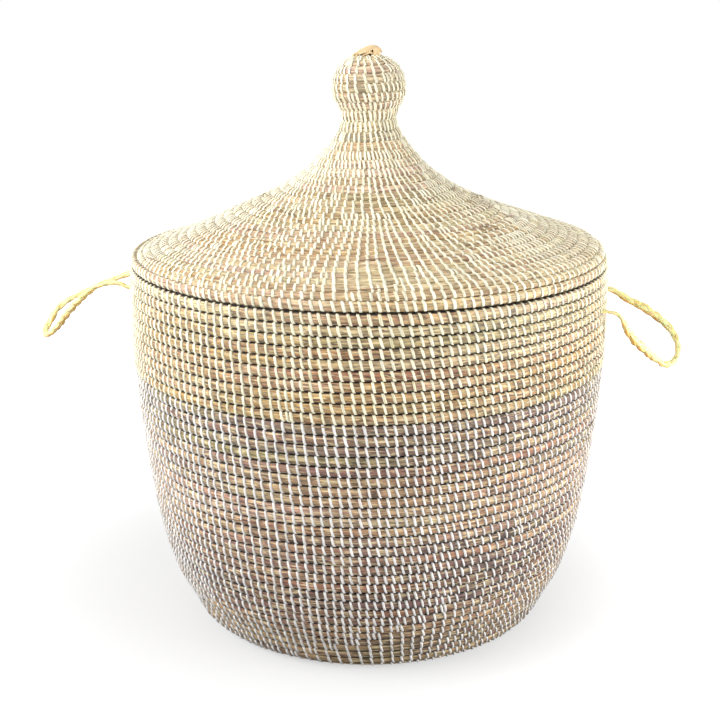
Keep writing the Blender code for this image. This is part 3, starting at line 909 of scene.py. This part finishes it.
# Locating ring: two rows of coil under the lid.
ring = {
    "spacing": ([0, 2], [0.0070, 0.0070]),
    "drag": ([0, 2], [0.0, 0.0], [0.0, 0.0]),
    "lean": ([0, 2], [0.002, 0.002], [0.0, 0.0]),
    "width": ([0, 2], [0.0024, 0.0024]),
}
ringLow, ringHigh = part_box("lid_locating_ring")
ringPoints = np.array([(ringHigh.x, ringHigh.z - 0.0003), (ringHigh.x, ringLow.z)])
ringCoil = Coil(ringPoints, np.linspace(0, lengthAlong(ringPoints)[-1], 3), -1, -1, -2, -1, 21)
ringTrack = [(0, {"straw": 1, "tan": 1}), (2, {"straw": 1, "tan": 1, "olive": 0.4})]
makeGrass("ring_grass_coil", ringCoil, 0, 1.995, ringTrack, lidGrass, "lid",
          ["lid_locating_ring"])
ringPlaces = stitchPlaces(ringCoil, ring["spacing"], ring["drag"], 0.01, 1.97, 22)
makeStitches("ring_stitches", ringCoil, ringPlaces, 0, 2, ring["lean"], ring["width"], creamRaffia, "lid")
print("ring made")

# Wad: loose grass inside the knob, with its tail down the neck.
wad = {"strands": 90, "thick": 0.0016}
wadLow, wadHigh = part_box("knob_core")


def makeWad():
    random = np.random.default_rng(31)
    height = wadHigh.z - wadLow.z
    widest = wadHigh.x
    stem = 0.0125
    part = np.linspace(0, 1, 16)
    outline = np.interp(part, [0.0, 0.30, 0.42, 0.62, 0.85, 1.0],
                        [0.85 * stem, stem, 1.15 * stem, widest, 0.75 * widest, 0.15 * widest])
    strands = []
    for i in range(wad["strands"]):
        angle = random.uniform(0, 2 * math.pi)
        share = math.sqrt(random.uniform(0.05, 1.0)) * 0.92
        top = random.uniform(0.9, 0.98)
        foot = random.uniform(0.0, 0.08)
        place = foot + (top - foot) * part
        bend = angle + 0.8 * drift(place * 2, 1.0, 200 + i)
        radius = np.maximum(np.interp(place, part, outline) * share - wad["thick"], 0.0005)
        line = np.stack([radius * np.cos(bend), radius * np.sin(bend), wadLow.z + place * height], 1)
        strands.append(tubeRings(line, wad["thick"] * (0.6 + 0.4 * np.sin(math.pi * part)), 6, (1.0, 0.1, 0.0)))
    tones = np.repeat(random.uniform(0.75, 1.15, (wad["strands"], 1)), 16 * 6, axis=0) * np.array(linear("#C4A76C"))
    piece = buildMesh("knob_wad", sweep(np.array(strands)), lidGrass, tones)
    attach(piece, "lid")
    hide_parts("knob_core")


makeWad()

# Tie: a crumpled strip of raffia, folded over the knob's tip and tucked in on both sides.
tieLow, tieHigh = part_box("knob_tie")
tie = {"size": 0.90, "thick": 0.0006, "crumple": 0.0006}


def ribbonRings(path, across, wide, thick, crumple, seed):
    along = lengthAlong(path)
    sides = 12
    turn = np.arange(sides) * 2 * math.pi / sides
    direction = unit(np.gradient(path, axis=0))
    flank = unit(across - direction * (across * direction).sum(1, keepdims=True))
    top = np.cross(direction, flank)
    x = np.cos(turn)
    y = np.sin(turn)
    folds = crumple * drift(x[None] * 2.2 + along[:, None] * 60, 1.0, seed)
    return (path[:, None] + flank[:, None] * (x[None] * wide[:, None])[..., None]
            + top[:, None] * (y[None] * thick[:, None] + folds)[..., None])


def makeTie():
    z = knobTop
    parts, dark = [], []

    def ribbon(points, across, widths, seed, shade=0.0):
        line = smoothThrough([(x * tie["size"], y * tie["size"], z + up * tie["size"]) for x, y, up in points], 7)
        share = np.linspace(0, 1, len(line))
        wide = np.interp(share, np.linspace(0, 1, len(widths)), widths) * tie["size"]
        across = np.tile(np.array(across, float), (len(line), 1))
        rings = ribbonRings(line, across, wide, np.full(len(line), tie["thick"]), tie["crumple"], seed)
        parts.append(sweep(rings[None]))
        dark.append(np.full(rings.shape[0] * rings.shape[1], shade))

    # the leaf, from the loop on the left up to the tip
    ribbon([(-0.0112, -0.0040, -0.0030), (-0.0085, -0.0062, 0.0010), (-0.0030, -0.0066, 0.0034),
            (0.0022, -0.0056, 0.0056), (0.0066, -0.0036, 0.0066)], (-0.2, 0.55, 1.0),
           [0.0012, 0.0024, 0.0030, 0.0028, 0.0014], 71)
    # the flap over the right side, with its ragged end
    ribbon([(0.0030, -0.0010, 0.0072), (0.0070, -0.0040, 0.0058), (0.0084, -0.0068, 0.0020),
            (0.0080, -0.0076, -0.0022), (0.0074, -0.0070, -0.0058)], (1.0, 0.35, 0.25),
           [0.0020, 0.0032, 0.0034, 0.0030, 0.0018], 72)
    ribbon([(0.0074, -0.0030, 0.0052), (0.0104, -0.0034, 0.0040), (0.0126, -0.0040, 0.0016)], (0.1, 0.3, 1.0),
           [0.0016, 0.0015, 0.0005], 73)
    # the small strip under the slit, and the wrapped start of the coil behind it
    ribbon([(-0.0060, -0.0068, -0.0022), (-0.0015, -0.0072, 0.0002), (0.0025, -0.0070, 0.0014),
            (0.0052, -0.0066, -0.0006)], (0.0, 0.3, 1.0), [0.0008, 0.0013, 0.0012, 0.0008], 74)
    # the wrap over the tip, darkened partway to the crease colour
    ribbon([(-0.0066, 0.0010, -0.0035), (-0.0060, 0.0000, 0.0020), (0.0, 0.0, 0.0046), (0.0060, 0.0, 0.0030),
            (0.0070, 0.0010, -0.0035)], (0.0, 1.0, 0.0), [0.0052, 0.0056, 0.0052, 0.0056, 0.0050], 75, 0.4)
    # painted shade: a filler behind the slit in the full crease colour, so the slit reads dark
    ribbon([(0.0, -0.0050, -0.0045), (0.0, -0.0048, 0.0010), (0.0004, -0.0020, 0.0042)], (1.0, 0.0, 0.0),
           [0.0072, 0.0070, 0.0040], 76, 1.0)
    turn = np.linspace(0, 2 * math.pi * 1.15, 30)
    loop = np.stack([-0.0104 + 0.0020 * np.cos(turn), -0.0064 - 0.0003 * turn, z - 0.0030 + 0.0032 * np.sin(turn)], 1)
    parts.append(sweep(tubeRings(loop, np.linspace(0.0011, 0.0008, 30), 10, (0.0, 1.0, 0.0))[None]))
    dark.append(np.zeros(300))
    tones = np.repeat(np.concatenate(dark)[:, None], 3, axis=1)
    tones[:, 1] = 1.0
    piece = buildMesh("tip_tie", joinParts(parts), tipRaffia, tones)
    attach(piece, "lid")
    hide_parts("knob_tie")


makeTie()
print("knob made")

# Stray strands of grass that lie over the rows.
stray = {"body": 90, "lid": 40, "thick": 0.00042}


def makeStrays(name, coil, low, high, count, body, seed):
    random = np.random.default_rng(seed)
    strands, tones = [], []
    for i in range(count):
        t0 = random.uniform(low, high)
        reach = random.uniform(0.010, 0.034) / (2 * math.pi * float(coil.radius(t0)))
        part = np.linspace(0, 1, 12)
        phi = random.uniform(-0.6, 0.6) + random.uniform(-0.8, 0.8) * (part - 0.5)
        lift = 0.0003 + 0.0009 * np.sin(math.pi * part) ** 2 * random.uniform(0.2, 1.0)
        line = coil.place(t0 + reach * part, phi, lift)
        strands.append(tubeRings(line, stray["thick"] * np.sin(math.pi * (0.08 + 0.84 * part)) ** 0.5, 6))
        tone = linear(random.choice([palette["straw"], palette["tan"], palette["rust"], palette["pink"]]))
        tones.append(np.repeat(np.array([tone]), 12 * 6, axis=0))
    piece = buildMesh(name, sweep(np.array(strands)), lidGrass, np.concatenate(tones))
    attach(piece, body)


makeStrays("body_stray_grass", wallCoil, 19, 55, stray["body"], "basket", 81)
makeStrays("lid_stray_grass", lidCoil, 18, 34, stray["lid"], "lid", 82)
print("strays made")

# Studio: white floor, soft lamps from both sides and above.
studio = {
    "floor": "#F7F7F7",
    "floorNear": "#9C9C9C",
    "glowNear": 0.56,
    "glowFar": 0.78,
    "world": 0.25,
    "left": 21.4,
    "side": 8.4,
    "right": 11.4,
    "top": 9.6,
}


def makeLamp(name, place, aim, size, power):
    data = bpy.data.lights.new(name, "AREA")
    data.shape = "RECTANGLE"
    data.size, data.size_y = size
    data.energy = power
    lamp = bpy.data.objects.new(name, data)
    lamp.location = place
    towards = np.array(aim, float) - np.array(place, float)
    flat = math.hypot(towards[0], towards[1])
    lamp.rotation_euler = (math.atan2(flat, -towards[2]), 0, math.atan2(towards[1], towards[0]) - math.pi / 2)
    bpy.context.collection.objects.link(lamp)


def makeStudio():
    makeLamp("left_lamp", (-1.1, -0.85, 0.95), (0, 0, 0.22), (1.0, 1.2), studio["left"])
    makeLamp("side_lamp", (-1.3, -0.35, 0.95), (0, 0, 0.22), (1.0, 1.2), studio["side"])
    makeLamp("right_lamp", (1.05, -0.3, 0.25), (0, 0, 0.22), (0.8, 0.4), studio["right"])
    makeLamp("top_lamp", (0, -0.1, 1.6), (0, 0, 0.22), (1.4, 1.2), studio["top"])
    g = Graph("studio_floor")
    ray = g.add("ShaderNodeLightPath")
    place = g.add("ShaderNodeVectorMath", {0: g.add("ShaderNodeNewGeometry").outputs["Position"]})
    place.inputs[1].default_value = (0.08, 0.0, 0.0)  # painted shadow: centred left of the basket, so the floor reads darker left of the base and paler on the right
    away = g.add("ShaderNodeVectorMath", {0: place.outputs[0]}, operation="LENGTH").outputs["Value"]
    # painted shade: grey paper and a lower camera glow near the basket darken the floor round the base, over the
    # rendered shadows; the grey paper also sends less light back onto the foot
    colour = g.mix(g.between(away, 0.22, 0.60), linear(studio["floorNear"]), linear(studio["floor"]))
    paper = g.add("ShaderNodeBsdfDiffuse", {"Color": colour})
    glow = g.add("ShaderNodeEmission", {"Color": (1, 1, 1, 1)})
    level = g.between(away, 0.12, 0.42, studio["glowNear"], studio["glowFar"])
    g.tree.links.new(g.math("MULTIPLY", ray.outputs["Is Camera Ray"], level), glow.inputs["Strength"])
    both = g.add("ShaderNodeAddShader", {0: paper.outputs[0], 1: glow.outputs[0]})
    output = g.add("ShaderNodeOutputMaterial")
    g.tree.links.new(both.outputs[0], output.inputs[0])
    size = 6.0
    ground = -0.0008  # just under the lowest stitches
    corners = [(-size, -size, ground), (size, -size, ground), (size, size, ground), (-size, size, ground)]
    mesh = bpy.data.meshes.new("studio_floor")
    mesh.from_pydata(corners, [], [(0, 1, 2, 3)])
    mesh.materials.append(g.material)
    floor = bpy.data.objects.new("studio_floor", mesh)
    bpy.context.collection.objects.link(floor)

    world = bpy.data.worlds.new("studio_world")
    world.use_nodes = True
    tree = world.node_tree
    tree.nodes.clear()
    ray = tree.nodes.new("ShaderNodeLightPath")
    back = tree.nodes.new("ShaderNodeBackground")
    level = tree.nodes.new("ShaderNodeMapRange")
    tree.links.new(ray.outputs["Is Camera Ray"], level.inputs[0])
    level.inputs[3].default_value = studio["world"]
    level.inputs[4].default_value = 1.0
    back.inputs[0].default_value = (1, 1, 1, 1)
    tree.links.new(level.outputs[0], back.inputs[1])
    out = tree.nodes.new("ShaderNodeOutputWorld")
    tree.links.new(back.outputs[0], out.inputs[0])
    bpy.context.scene.world = world


makeStudio()
bpy.context.scene.view_settings.view_transform = "Standard"
print("studio made")
